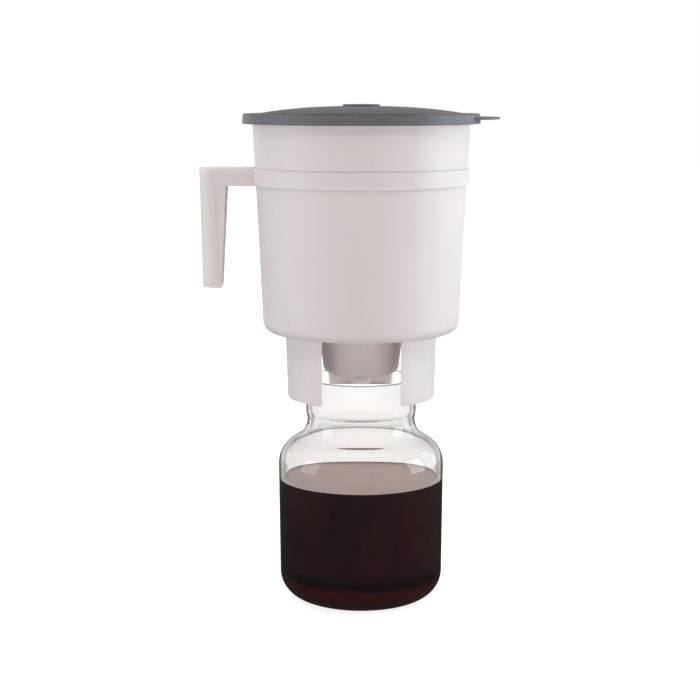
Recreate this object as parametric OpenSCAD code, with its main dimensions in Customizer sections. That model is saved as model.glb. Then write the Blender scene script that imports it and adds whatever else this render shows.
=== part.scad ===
// Cold brew coffee maker: a brewing container with a lid and a handle, standing on a glass decanter.
// Millimetres, +Z up. The origin is the centre of the decanter's underside. The front is -Y,
// the handle hangs at -X and the lid's pull tab points to +X.

/* [Decanter] */
// Outside radius of the glass body, just under its shoulder
decanter_r = 55.5; // [52:0.5:60]
// Height of the decanter, from the table to the rim of its mouth
decanter_h = 150.5; // [144:0.5:165]
// Thickness of the glass wall
decanter_wall = 2.6; // [1.8:0.1:3.2]
// Thickness of the glass base at its edge
decanter_base = 5; // [3:0.5:7]
// Rise of the base's inner face towards its middle
base_rise = 1.6; // [0.5:0.1:3]
// Radius of the rounding round the foot
foot_round = 18; // [12:0.5:19]
// How much smaller the body is at the foot than at the shoulder
body_taper = 0.7; // [0:0.1:2]
// Height at which the shoulder starts to curve in
shoulder_z = 92; // [86:0.5:98]
// Radius of the shoulder's curve
shoulder_round = 20; // [18:0.5:23]
// Outside radius of the neck where it is narrowest
neck_r = 36.1; // [34.5:0.1:38]
// Radius of the hollow curve between shoulder and collar
neck_round = 13.8; // [10:0.2:15]
// How far the collar stands out from the neck
collar_swell = 0.8; // [0.3:0.1:1.2]
// Radius of the curve from the neck out to the collar
collar_round = 11.5; // [6:0.5:14]
// Rounding of the mouth's rim
rim_round = 0.9; // [0.4:0.1:1]

/* [Coffee] */
// Height of the coffee's surface above the table
coffee_level = 82.4; // [30:0.2:90]
// Gap between the coffee and the glass
coffee_gap = 0.05; // [0.03:0.01:0.1]

/* [Brewing container] */
// Height of the container's floor above the decanter's mouth
floor_rise = 31.5; // [30:0.5:40]
// Outside radius of the wall at the floor
container_r = 65; // [62:0.5:70]
// Height of the container, from the floor's underside to the rim
container_h = 141.7; // [130:0.5:170]
// Draft of the wall, in degrees
container_draft = 2.6; // [1.5:0.1:3.5]
// Thickness of the wall and the floor
container_wall = 2.4; // [1.6:0.1:3]
// Outside rounding between the floor and the wall
floor_round = 7.5; // [5:0.5:10]
// How far the inner floor falls from the wall to the cup
floor_fall = 1.6; // [0.5:0.1:3]
// How far the rim flange reaches out from the wall
flange_reach = 5.2; // [3:0.1:7]
// Thickness of the rim flange
flange_t = 2; // [1.4:0.1:2.6]

/* [Filter cup] */
// Outside radius of the cup at the floor
cup_r = 28; // [26:0.2:29]
// Depth of the cup below the floor's underside
cup_depth = 28; // [24:0.2:29]
// Draft of the cup's wall, in degrees
cup_draft = 6.4; // [3:0.1:7]
// Thickness of the cup's wall and bottom
cup_wall = 2.2; // [1.6:0.1:2.8]
// Outside rounding of the cup's bottom edge
cup_round = 5; // [3:0.2:6]
// Number of ribs that carry the felt
felt_ribs = 8; // [6:1:10]
// Height of the felt ribs
felt_rib_h = 3; // [2:0.1:4]
// Thickness of the felt ribs
felt_rib_t = 1.4; // [1:0.1:2]
// Radius of the drain bore
drain_r = 5.2; // [4:0.1:6]
// Wall of the collar round the drain bore
drain_wall = 1.2; // [1:0.1:2]
// How far the drain collar stands down from the cup
drain_drop = 4.3; // [3:0.1:4.5]

/* [Legs] */
// Outside radius of the legs at the floor
leg_r = 50.4; // [49:0.2:54]
// Length of the legs below the floor
leg_h = 43.9; // [40:0.1:50]
// Draft of the legs, in degrees
leg_draft = 1.8; // [0.5:0.1:3]
// Thickness of the legs
leg_wall = 2.2; // [1.6:0.1:3]
// Width of each window between two legs
window_w = 51; // [44:0.2:56]
// Thickness of the seat fins inside the legs
fin_t = 1.8; // [1.2:0.1:2.4]
// Distance between the two fins of a leg, in degrees round the axis
fin_spread = 13; // [8:0.5:18]
// How far the fins reach inwards over the decanter's rim
fin_reach = 1; // [0.5:0.1:2]
// How far the fins reach down outside the decanter's collar
fin_drop = 6; // [3:0.2:8]

/* [Handle] */
// Height of the band's lower edge above the container's floor
band_z = 97.6; // [80:0.2:110]
// Height of the band
band_h = 10.8; // [8:0.2:14]
// How far the band stands out from the wall at its lower edge
band_t = 2; // [1.6:0.1:3]
// Rounding of the band's upper edge
band_round = 1.2; // [0.6:0.1:1.4]
// Height of the arm
arm_h = 11.6; // [10:0.2:14]
// Distance of the grip's outer face from the wall, at the band
grip_reach = 36.7; // [32:0.1:44]
// Depth of the grip under the arm, from its outer to its inner edge
grip_depth = 18.2; // [16:0.2:22]
// Depth of the grip at its foot
grip_foot_depth = 12.8; // [10:0.2:15]
// How far the grip's outer face leans in from top to foot
grip_lean = 1.6; // [0:0.1:3]
// Length of the handle from the arm's top to the grip's foot
grip_h = 78.5; // [70:0.5:95]
// Width of the arm and the grip
grip_w = 24; // [20:0.5:28]
// Rounding of the grip's outer corners
grip_round = 9.4; // [7:0.2:9.6]
// Thickness of the handle's walls
handle_wall = 2.2; // [1.6:0.1:2.8]
// Depth of the shallow panel on each side of the grip
panel_depth = 0.6; // [0.3:0.1:0.8]
// Number of cross ribs in the hollow of the grip
grip_ribs = 4; // [2:1:6]
// Thickness of the cross ribs
grip_rib_t = 1.6; // [1:0.1:2]

/* [Lid] */
// Thickness of the lid
lid_t = 1.8; // [1.2:0.1:2.4]
// Thickness of the lid's skirt
skirt_t = 1.2; // [1:0.1:1.6]
// Height of the lid's skirt, from its top face
skirt_h = 6.3; // [4.5:0.1:8]
// How much wider the skirt is at its lower edge than at its top
skirt_flare = 0.65; // [0:0.05:1]
// Radius of the dome
dome_r = 65.5; // [58:0.5:66]
// Height of the dome above the flat rim
dome_h = 5; // [3:0.1:9]
// Height of the low step in which the dome ends
dome_step = 0.6; // [0.3:0.1:1.2]
// Fullness of the dome: 2 is a plain bowl, more is flatter in the middle and steeper outside
dome_fullness = 2.4; // [1.8:0.1:4]
// Radius of the flat boss in the middle of the dome
boss_r = 12; // [8:0.5:16]
// Height of the boss
boss_h = 1.1; // [0.4:0.1:1.5]
// Rounding of the boss's edge
boss_edge = 0.3; // [0.1:0.1:0.4]
// Depth of the plug that centres the lid in the container
plug_h = 6; // [4:0.2:9]
// Thickness of the plug's wall
plug_wall = 1.6; // [1.2:0.1:2]
// How far the pull tab reaches out from the skirt
tab_reach = 12.8; // [9:0.2:18]
// Radius of the pull tab's outline
tab_r = 31.2; // [25:0.2:36]
// Thickness of the pull tab
tab_t = 1.5; // [1.2:0.1:2]
// Depth of the pull tab's middle below the lid's top face
tab_drop = 2.9; // [2:0.1:4]

/* [Felt filter] */
// Thickness of the felt disc
felt_t = 8; // [5:0.5:12]
// Rounding of the felt's edges
felt_round = 1; // [0.4:0.1:1.5]

/* [Stopper] */
// Radius of the stopper's head
head_r = 6.7; // [6.5:0.1:9]
// Height of the stopper's head
head_h = 3.1; // [2:0.1:5]
// Draft of the plug, in degrees
plug_draft = 1; // [0.5:0.1:3]
// Rounding of the head's lower edge
head_round = 0.8; // [0.4:0.1:1]

/* [Clearances] */
// Between the fins and the decanter's collar
collar_gap = 0.5; // [0.3:0.1:1]
// Between the lid and the container
lid_gap = 0.35; // [0.3:0.05:0.6]
// Between the felt and the cup's wall
felt_gap = 0.3; // [0.3:0.05:0.6]
// Between the stopper and the drain bore
stopper_gap = 0.1; // [0.05:0.01:0.15]

/* [Hidden] */
$fn = 128;
arc_steps = 12;

// Decanter. Three curves follow each other without a kink: shoulder, neck and collar.
foot_r = decanter_r - body_taper;
collar_r = neck_r + collar_swell;
shoulder_c = [decanter_r - shoulder_round, shoulder_z];
neck_c = [
    neck_r + neck_round,
    shoulder_z + sqrt(pow(shoulder_round + neck_round, 2) - pow(neck_r + neck_round - shoulder_c[0], 2))
];
collar_c = [
    collar_r - collar_round,
    neck_c[1] + sqrt(pow(neck_round + collar_round, 2) - pow(neck_c[0] - collar_r + collar_round, 2))
];
shoulder_end = atan2(neck_c[1] - shoulder_c[1], neck_c[0] - shoulder_c[0]);
collar_start = atan2(collar_c[1] - neck_c[1], neck_c[0] - collar_c[0]);

// Container. Heights are above the table.
floor_z = decanter_h + floor_rise;
rim_z = floor_z + container_h;
cup_z = floor_z - cup_depth;
drain_z = cup_z - drain_drop;
drain_collar_r = drain_r + drain_wall;
leg_z = floor_z - leg_h;
flange_r = wall_r(rim_z) + flange_reach;
felt_z = cup_z + cup_wall + felt_rib_h;
leg_count = 3;
join = 1;

// Handle
band_low = floor_z + band_z;
band_top = band_low + band_h;
band_r = wall_r(band_low) + band_t;
band_root = wall_r(band_low) - container_wall;
arm_low = band_top - arm_h;
grip_foot = band_top - grip_h;
grip_out = wall_r(band_top) + grip_reach;
grip_tilt = atan2(grip_lean, grip_h);
rib_setback = 1.2;

// Lid
lid_z = rim_z + lid_t;
skirt_low_r = flange_r + lid_gap + skirt_t;
skirt_top_r = skirt_low_r - skirt_flare;
tab_c = skirt_low_r + tab_reach - tab_r;

// Points along an arc about a centre, from one angle to another
function arc(centre, r, from, to, steps = arc_steps) = [
    for (i = [0:steps])
        let (a = from + (to - from) * i / steps)
            centre + r * [cos(a), sin(a)]
];

// Outside radius of the container's wall, the cup's wall and the legs at a height
function wall_r(z) = container_r + (z - floor_z) * tan(container_draft);
function cup_wall_r(z) = cup_r - (floor_z - z) * tan(cup_draft);
function leg_wall_r(z) = leg_r - (floor_z - z) * tan(leg_draft);

// Centre of a rounding that touches the floor line z and a wall that leans out by draft
function round_centre(wall_at_z, z, r, draft) = [wall_at_z + r * tan(draft) - r / cos(draft), z + r];

// Inner face of the decanter, from the middle of its base up to its mouth, drawn in by a gap
function decanter_inside(gap) =
    let (
        t = decanter_wall + gap,
        foot_c = [foot_r - foot_round, decanter_base + foot_round - decanter_wall],
        base = foot_c[1] - foot_round + t
    )
    concat(
        [for (i = [0:5]) let (s = i / 6) [foot_c[0] * s, base + base_rise * (1 - s * s)]],
        arc(foot_c, foot_round - t, -90, 0),
        arc(shoulder_c, shoulder_round - t, 0, shoulder_end),
        arc(neck_c, neck_round + t, 180 + shoulder_end, 180 - collar_start),
        arc(collar_c, collar_round - t, -collar_start, 0, 4)
    );

module glass_decanter() {
    outside = concat(
        arc([foot_r - foot_round, foot_round], foot_round, -90, 0),
        arc(shoulder_c, shoulder_round, 0, shoulder_end),
        arc(neck_c, neck_round, 180 + shoulder_end, 180 - collar_start),
        arc(collar_c, collar_round, -collar_start, 0, 4)
    );
    rim = concat(
        arc([collar_r - rim_round, decanter_h - rim_round], rim_round, 0, 90, 5),
        arc([collar_r - decanter_wall + rim_round, decanter_h - rim_round], rim_round, 90, 180, 5)
    );
    inside = decanter_inside(0);
    color([0.86, 0.89, 0.89, 0.35])
        rotate_extrude()
            polygon(concat([[0, 0]], outside, rim, [for (i = [len(inside) - 1:-1:0]) inside[i]]));
}

module coffee() {
    inside = decanter_inside(coffee_gap);
    color([0.13, 0.07, 0.06])
        rotate_extrude()
            intersection() {
                polygon(concat(inside, [[0, inside[len(inside) - 1][1]]]));
                square([decanter_r, coffee_level]);
            }
}

// Wall, floor, cup and drain collar as one revolved outline
module container_shell() {
    cup_in = cup_wall / cos(cup_draft);
    wall_in = container_wall / cos(container_draft);
    floor_top = floor_z + container_wall;
    outside = concat(
        [[drain_r, drain_z], [drain_collar_r, drain_z], [drain_collar_r, cup_z]],
        arc(round_centre(cup_wall_r(cup_z), cup_z, cup_round, cup_draft), cup_round, -90, -cup_draft),
        [[cup_r, floor_z]],
        arc(round_centre(container_r, floor_z, floor_round, container_draft), floor_round, -90, -container_draft),
        [[wall_r(rim_z - flange_t), rim_z - flange_t], [flange_r, rim_z - flange_t], [flange_r, rim_z]]
    );
    floor_in_r = floor_round - container_wall;
    cup_in_r = cup_round - cup_wall / 2;
    inside = concat(
        [[drain_r, cup_z + cup_wall]],
        arc(
            round_centre(cup_wall_r(cup_z + cup_wall) - cup_in, cup_z + cup_wall, cup_in_r, cup_draft),
            cup_in_r, -90, -cup_draft, 6
        ),
        [[cup_wall_r(floor_top) - cup_in, floor_top]],
        arc(
            round_centre(
                wall_r(floor_top + floor_fall) - wall_in, floor_top + floor_fall, floor_in_r, container_draft
            ),
            floor_in_r, -90, -container_draft
        ),
        [[wall_r(rim_z) - wall_in, rim_z]]
    );
    rotate_extrude()
        polygon(concat(outside, [for (i = [len(inside) - 1:-1:0]) inside[i]]));
}

// Radial ribs on the cup's bottom, ending inside the cup's wall
module cup_ribs() {
    inner = drain_collar_r + cup_wall;
    outer = cup_wall_r(cup_z + cup_wall) - cup_wall / 2;
    for (i = [0:felt_ribs - 1])
        rotate([0, 0, i * 360 / felt_ribs])
            translate([inner, -felt_rib_t / 2, cup_z + cup_wall - join])
                cube([outer - inner, felt_rib_t, felt_rib_h + join]);
}

// A ring under the floor, cut into legs by a window between each two of them
module legs() {
    top = floor_z + join;
    difference() {
        rotate_extrude()
            polygon([
                [leg_wall_r(leg_z) - leg_wall, leg_z], [leg_wall_r(leg_z), leg_z],
                [leg_wall_r(top), top], [leg_wall_r(top) - leg_wall, top]
            ]);
        for (i = [0:leg_count - 1])
            rotate([0, 0, i * 360 / leg_count])
                translate([-window_w / 2, -2 * leg_r, leg_z - join])
                    cube([window_w, 2 * leg_r, leg_h + join]);
    }
}

// Fins in pairs behind each leg: their steps rest on the decanter's rim and stand round its collar
module seat_fins() {
    top = floor_z + join;
    inner = collar_r - decanter_wall - fin_reach;
    step = collar_r + collar_gap;
    low = decanter_h - fin_drop;
    lead = fin_drop / 4;
    for (i = [0:leg_count - 1], side = [-1, 1])
        rotate([0, 0, 90 + i * 360 / leg_count + side * fin_spread / 2])
            rotate([90, 0, 0])
                translate([0, 0, -fin_t / 2])
                    linear_extrude(fin_t)
                        polygon([
                            [inner, top], [inner, decanter_h], [step, decanter_h], [step, low + lead],
                            [step + lead, low], [leg_wall_r(low) - leg_wall / 2, low],
                            [leg_wall_r(top) - leg_wall / 2, top]
                        ]);
}

module brewing_container() {
    color([0.87, 0.85, 0.84]) {
        container_shell();
        cup_ribs();
        legs();
        seat_fins();
    }
}

// Plan of the grip and arm, drawn in by an inset: straight towards the container, rounded outside
function grip_plan(inset) =
    let (out = grip_out - inset, half = grip_w / 2 - inset, r = grip_round - inset)
    concat(
        [[0, half]],
        arc([r - out, half - r], r, 90, 180),
        arc([r - out, r - half], r, 180, 270),
        [[0, -half]]
    );

// The grip's plan as a column that leans in towards its foot
module grip_column(inset) {
    translate([0, 0, band_top])
        rotate([0, -grip_tilt, 0])
            translate([0, 0, -1.5 * grip_h])
                linear_extrude(2 * grip_h)
                    polygon(grip_plan(inset));
}

// Extrudes a side view, given as [x, z] points, across a width
module side_plate(points, width) {
    rotate([90, 0, 0])
        translate([0, 0, -width / 2])
            linear_extrude(width)
                polygon(points);
}

// Arm and grip, hollow towards the container and under the arm
module arm_and_grip() {
    foot_out = grip_out - grip_lean;
    grip_in = grip_out - grip_depth;
    foot_in = foot_out - grip_foot_depth;
    roof = band_top - handle_wall;
    sill = grip_foot + handle_wall;
    hollow_in = band_r + handle_wall;
    panel_out = grip_out - grip_round;
    difference() {
        intersection() {
            side_plate([
                [-band_root, band_top], [-2 * grip_out, band_top], [-2 * grip_out, grip_foot],
                [-foot_in, grip_foot], [-grip_in, arm_low], [-band_root, arm_low]
            ], grip_w);
            grip_column(0);
        }
        // The hollow, with the cross ribs left standing in it
        difference() {
            intersection() {
                side_plate([
                    [-hollow_in, roof], [-2 * grip_out, roof], [-2 * grip_out, sill],
                    [-foot_in + handle_wall, sill], [-hollow_in, arm_low - handle_wall]
                ], grip_w);
                grip_column(handle_wall);
            }
            for (i = [1:grip_ribs])
                let (z = sill + (arm_low - sill) * i / grip_ribs, s = (z - grip_foot) / (arm_low - grip_foot))
                    translate([-2 * grip_out, -grip_w / 2, z - grip_rib_t])
                        cube([
                            2 * grip_out - foot_in - (grip_in - foot_in) * s - rib_setback,
                            grip_w, grip_rib_t
                        ]);
        }
        // The shallow panels on both sides of the grip
        for (side = [-1, 1])
            translate([0, side * (grip_w - panel_depth), 0])
                side_plate([
                    [-panel_out, arm_low], [grip_lean - panel_out, grip_foot - join],
                    [-band_root, grip_foot - join], [-band_root, arm_low]
                ], grip_w);
    }
}

module handle() {
    color([0.87, 0.85, 0.84])
        difference() {
            union() {
                rotate_extrude()
                    polygon(concat(
                        [[band_root, band_low], [band_r, band_low]],
                        arc([band_r - band_round, band_top - band_round], band_round, 0, 90, 6),
                        [[band_root, band_top]]
                    ));
                arm_and_grip();
            }
            // The container's wall, on which the band is wedged
            translate([0, 0, arm_low - join])
                cylinder(h = arm_h + 2 * join, r1 = wall_r(arm_low - join), r2 = wall_r(band_top + join));
        }
}

// Rise of the lid's crown as a share of its radius, from 0 in the middle to 1 at the step
function crown_rise(share) = dome_step + (dome_h - dome_step) * (1 - pow(share, dome_fullness));

// Points of a crown of radius r over a flat face at height z, from the middle down the step
function crown(r, z) = concat(
    [for (i = [0:2 * arc_steps]) let (share = sin(45 * i / arc_steps)) [r * share, z + crown_rise(share)]],
    [[r, z]]
);

module lid() {
    under = lid_z - lid_t;
    plug_out = wall_r(rim_z - plug_h) - container_wall / cos(container_draft) - lid_gap;
    boss_top = lid_z + dome_h + boss_h;
    inside = crown(dome_r - lid_t, under);
    color([0.36, 0.36, 0.38]) {
        rotate_extrude()
            polygon(concat(
                [[0, boss_top]],
                arc([boss_r - boss_edge, boss_top - boss_edge], boss_edge, 90, 0, 2),
                [[boss_r, lid_z + crown_rise(boss_r / dome_r)]],
                [for (p = crown(dome_r, lid_z)) if (p[0] > boss_r) p],
                [
                    [skirt_top_r, lid_z], [skirt_low_r, lid_z - skirt_h],
                    [skirt_low_r - skirt_t, lid_z - skirt_h], [skirt_low_r - skirt_t, under],
                    [plug_out, under], [plug_out, under - plug_h],
                    [plug_out - plug_wall, under - plug_h], [plug_out - plug_wall, under]
                ],
                [for (i = [len(inside) - 1:-1:0]) inside[i]]
            ));
        translate([0, 0, lid_z - tab_drop - tab_t / 2])
            linear_extrude(tab_t)
                difference() {
                    translate([tab_c, 0])
                        circle(tab_r);
                    circle(skirt_low_r - skirt_t / 2);
                }
    }
}

module felt_filter() {
    cup_in = cup_wall / cos(cup_draft) + felt_gap;
    low_r = cup_wall_r(felt_z) - cup_in;
    top_r = cup_wall_r(felt_z + felt_t) - cup_in;
    color([0.93, 0.92, 0.88])
        rotate_extrude()
            polygon(concat(
                [[0, felt_z]],
                arc([low_r - felt_round, felt_z + felt_round], felt_round, -90, 0, 5),
                arc([top_r - felt_round, felt_z + felt_t - felt_round], felt_round, 0, 90, 5),
                [[0, felt_z + felt_t]]
            ));
}

module stopper() {
    plug_l = drain_drop + cup_wall + felt_rib_h / 3;
    plug_r = drain_r - stopper_gap;
    color([0.95, 0.93, 0.91])
        rotate_extrude()
            polygon(concat(
                [[0, drain_z - head_h]],
                arc([head_r - head_round, drain_z - head_h + head_round], head_round, -90, 0, 5),
                [
                    [head_r, drain_z], [plug_r, drain_z],
                    [plug_r - plug_l * tan(plug_draft), drain_z + plug_l], [0, drain_z + plug_l]
                ]
            ));
}

glass_decanter();
coffee();
brewing_container();
handle();
lid();
felt_filter();
stopper();
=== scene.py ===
# %% [markdown]
# # A gravity coffee brewer on its glass decanter
#
# This lesson dresses a finished construction. The frame that is loaded first holds every solid
# of the brewer at its real size and place, grouped in the bodies that slide on each other. Each
# visible skin here is worked out again as a smooth surface, put exactly where its solid lies,
# and told which body it rides on.

# %% Load the frame
import math

import bmesh
import bpy
import numpy as np
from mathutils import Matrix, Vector


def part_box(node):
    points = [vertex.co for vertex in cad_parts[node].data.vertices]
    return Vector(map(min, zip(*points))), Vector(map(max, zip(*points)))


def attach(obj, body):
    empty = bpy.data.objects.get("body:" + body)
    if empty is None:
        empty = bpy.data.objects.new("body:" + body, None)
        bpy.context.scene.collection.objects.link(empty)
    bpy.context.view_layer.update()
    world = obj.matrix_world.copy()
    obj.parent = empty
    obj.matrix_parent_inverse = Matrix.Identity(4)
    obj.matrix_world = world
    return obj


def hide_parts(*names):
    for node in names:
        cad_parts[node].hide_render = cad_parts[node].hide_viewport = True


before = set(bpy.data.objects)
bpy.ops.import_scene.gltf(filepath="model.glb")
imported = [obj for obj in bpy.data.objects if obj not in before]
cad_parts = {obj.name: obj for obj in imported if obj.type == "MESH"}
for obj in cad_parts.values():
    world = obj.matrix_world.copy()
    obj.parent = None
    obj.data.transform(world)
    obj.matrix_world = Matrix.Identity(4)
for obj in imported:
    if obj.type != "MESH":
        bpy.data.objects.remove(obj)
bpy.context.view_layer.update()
MM = 0.001

# %% [markdown]
# The brewer is nearly all turned and moulded plastic. The sizes that the frame can give are read
# from it, so that a skin can't drift away from its solid. What the frame's boxes don't say, such
# as a wall or a rounding, is named here in millimetres, as the mould maker's drawing would.

# %% Sizes read from the frame
_, glass_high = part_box("glass_decanter")
coffee_low, coffee_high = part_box("coffee")
brewer_low, brewer_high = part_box("brewing_container")
handle_low, handle_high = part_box("handle")
_, lid_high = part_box("lid")
felt_low, felt_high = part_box("felt_filter")
stopper_low, stopper_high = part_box("stopper")

rim_z = brewer_high.z
leg_z = brewer_low.z
mouth_z = glass_high.z
glass_r = glass_high.y
print(f"the brewer is {lid_high.z / MM:.1f} mm tall, its glass {2 * glass_r / MM:.1f} mm wide")

# %% [markdown]
# Every outline is drawn as a few corners with a rounding each, the way a moulded part is drawn,
# because a real edge always catches a thin line of light. The helper below turns the corners
# into arcs. It also sets a point close to each end of a flat stretch: smooth shading bends the
# light between two neighbouring points, and these hold that bend within the rounding.

# %% Outlines with rounded corners
HOLD = 0.12 * MM


def rounded(corners, closed=False, steps=6):
    """Each row of corners is a place (a, b) and a radius. An arc of that radius replaces the
    corner: it touches both sides at radius / tan(half the corner's angle) from the corner."""
    corners = np.asarray(corners, float)
    places = corners[:, :2]
    count = len(corners)
    path = []
    for i in range(count):
        here, radius = places[i], corners[i, 2]
        if not closed and i in (0, count - 1):
            path.append(here[None])
            continue
        to_last = places[i - 1] - here
        to_next = places[(i + 1) % count] - here
        last_length, next_length = np.linalg.norm(to_last), np.linalg.norm(to_next)
        to_last, to_next = to_last / last_length, to_next / next_length
        half = math.acos(np.clip(to_last @ to_next, -1, 1)) / 2
        reach = min(radius / math.tan(half), 0.45 * last_length, 0.45 * next_length)
        if reach < 1e-7:
            path.append(here[None])
            continue
        radius = reach * math.tan(half)
        bisector = (to_last + to_next) / np.linalg.norm(to_last + to_next)
        centre = here + bisector * radius / math.sin(half)
        start = here + to_last * reach - centre
        end = here + to_next * reach - centre
        sweep = math.pi - 2 * half
        t = np.linspace(0, 1, steps + 1)[:, None]
        arc = centre + (start * np.sin((1 - t) * sweep) + end * np.sin(t * sweep)) / math.sin(sweep)
        before, after = here + to_last * (reach + HOLD), here + to_next * (reach + HOLD)
        path.append(np.vstack([before, arc, after]))
    return np.vstack(path)


def arc_points(centre, radius, start, end, steps=16):
    """Points at centre + radius * (cos, sin) of evenly spaced angles, in degrees."""
    angle = np.radians(np.linspace(start, end, steps + 1))
    return np.asarray(centre) + radius * np.column_stack([np.cos(angle), np.sin(angle)])


# %% [markdown]
# A surface is a grid of points: rows along one parameter, columns along the other. A lathe turns
# a profile round the axis, and a plate carries an outline through its thickness and draws it in
# near both faces, as a mould's polished edges do. Screw and Solidify modifiers could do both, but
# whole arrays keep every point on its formula, and the finished mesh needs nothing applied.

# %% Grids: the lathe and the plate
SIDES = 256


def lathe(profile, sides=SIDES, wobble=None):
    """Row i, column j is (r_i cos a_j, r_i sin a_j, z_i), with a_j evenly round the axis.
    wobble(a, r, z) may add a small height to each point along the radius and the axis."""
    angle = np.linspace(0, 2 * np.pi, sides, endpoint=False)
    r, z = profile[:, 0][:, None], profile[:, 1][:, None]
    r = np.maximum(r, 0) + 0 * angle
    z = z + 0 * angle
    if wobble is not None:
        out, up = wobble(angle[None] + 0 * r, r, z)
        r, z = r + out, z + up
    return np.stack([r * np.cos(angle), r * np.sin(angle), z], axis=2)


def drawn_in(outline, amount):
    """Moves each point of a closed outline inwards: the sum of its two sides' normals n and m,
    times amount / (1 + n.m), is the corner's offset."""
    side = np.roll(outline, -1, axis=0) - outline
    side /= np.linalg.norm(side, axis=1)[:, None]
    area = np.sum(outline[:, 0] * np.roll(outline[:, 1], -1) - np.roll(outline[:, 0], -1) * outline[:, 1])
    normal = np.column_stack([-side[:, 1], side[:, 0]]) * np.sign(area)
    last = np.roll(normal, 1, axis=0)
    return outline + amount * (normal + last) / (1 + np.sum(normal * last, axis=1))[:, None]


def plate(outline, thickness, edge, axes, origin=(0, 0, 0), steps=4):
    """Rows go through the thickness. Near each face the outline is drawn in by
    edge * (1 - sin a) at a depth of edge * (1 - cos a), so the edges are quarter circles."""
    a = np.radians(np.linspace(0, 90, steps + 1))
    inset, depth = edge * (1 - np.sin(a)), edge * (1 - np.cos(a))
    heights = np.concatenate([depth - thickness / 2, thickness / 2 - depth[::-1]])
    insets = np.concatenate([inset, inset[::-1]])
    rings = np.stack([drawn_in(outline, i) for i in insets])
    axes, origin = np.asarray(axes, float), np.asarray(origin, float)
    return (
        origin + rings[:, :, :1] * axes[0] + rings[:, :, 1:] * axes[1] + heights[:, None, None] * axes[2]
    )


# %% [markdown]
# A grid becomes a mesh with one face between each four neighbours. Rows close on themselves
# round the axis. Ends that shrink to a point on the axis are welded there, and open ends of a
# plate get a flat face. Several grids can make one piece, as the fins of one moulding do.

# %% From grids to pieces
WELD = 0.002 * MM
SHARP = math.radians(42)


def grid_faces(rows, columns, ring):
    """Quads between row i and i + 1 and column j and j + 1, with the last column joined to the
    first, and with ring the last row joined to the first one too."""
    i = np.arange(rows if ring else rows - 1)[:, None]
    j = np.arange(columns)[None]
    down, right = (i + 1) % rows, (j + 1) % columns
    quads = np.stack([
        i * columns + j, i * columns + right, down * columns + right, down * columns + j
    ], axis=2)
    return quads.reshape(-1, 4)


def mesh_from(name, grids):
    """One mesh from a list of (grid, kind): kind is ring, lathe or plate."""
    points, faces, base = [], [], 0
    for grid, kind in grids:
        rows, columns, _ = grid.shape
        points.append(grid.reshape(-1, 3))
        faces += (grid_faces(rows, columns, kind == "ring") + base).tolist()
        if kind == "plate":
            faces.append(list(range(base, base + columns)))
            faces.append(list(range(base + (rows - 1) * columns, base + rows * columns)))
        base += rows * columns
    mesh = bpy.data.meshes.new(name)
    mesh.from_pydata(np.vstack(points), [], faces)
    work = bmesh.new()
    work.from_mesh(mesh)
    bmesh.ops.remove_doubles(work, verts=work.verts, dist=WELD)
    bmesh.ops.recalc_face_normals(work, faces=work.faces)
    work.to_mesh(mesh)
    work.free()
    mesh.shade_smooth()
    mesh.set_sharp_from_angle(angle=SHARP)
    return mesh


def block(name, grids):
    """A bare mesh object at the origin."""
    made = bpy.data.objects.new(name, mesh_from(name, grids))
    bpy.context.scene.collection.objects.link(made)
    return made


def dress(made, body, node, finish):
    """Gives an object its finish and its body, and hides the solid of the frame that it stands for."""
    made.data.materials.append(finish)
    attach(made, body)
    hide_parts(node)
    print(f"{made.name}: {len(made.data.polygons)} faces")


def piece(name, grids, body, node, finish):
    """A block that is dressed at once."""
    made = block(name, grids)
    dress(made, body, node, finish)
    return made


# %% [markdown]
# Materials need two small tools. Colours are written as the hex value that a screen shows, and
# Blender wants them linear. Nodes are added with their settings and links in one call.

# %% Colour and nodes
SMOOTH = {"interpolation_type": "SMOOTHSTEP"}
MULTIPLY = {"operation": "MULTIPLY"}
COLOUR = {"data_type": "RGBA"}


def linear(hex_colour):
    """sRGB hex to linear: below 0.04045 divide by 12.92, else ((c + 0.055) / 1.055) ** 2.4."""
    c = np.array([int(hex_colour[i:i + 2], 16) for i in (1, 3, 5)]) / 255
    c = np.where(c <= 0.04045, c / 12.92, ((c + 0.055) / 1.055) ** 2.4)
    return (*c.tolist(), 1.0)


def add_node(tree, kind, settings=None, inputs=None):
    """Adds a shader node and sets its properties. Each input is set to a value, or is linked to
    a socket or to the first output in use of another node."""
    node = tree.nodes.new("ShaderNode" + kind)
    for key, value in (settings or {}).items():
        setattr(node, key, value)
    for key, value in (inputs or {}).items():
        if isinstance(value, bpy.types.Node):
            value = next(out for out in value.outputs if out.enabled)
        if isinstance(value, bpy.types.NodeSocket):
            tree.links.new(value, node.inputs[key])
        else:
            node.inputs[key].default_value = value
    return node


def new_material(name):
    """An empty node material, its tree and the object's own coordinates."""
    material = bpy.data.materials.new(name)
    material.use_nodes = True
    tree = material.node_tree
    tree.nodes.clear()
    return material, tree, add_node(tree, "TexCoord").outputs["Object"]


def ramp(tree, factor, stops):
    """A colour ramp through (position, hex colour) stops."""
    node = add_node(tree, "ValToRGB", inputs={"Fac": factor})
    elements = node.color_ramp.elements
    while len(elements) < len(stops):
        elements.new(1.0)
    for element, (position, colour) in zip(elements, stops):
        element.position = position
        element.color = linear(colour)
    return node


def per_mm(size):
    """The scale of a noise whose features are about size millimetres across."""
    return 1 / (size * MM)


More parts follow.
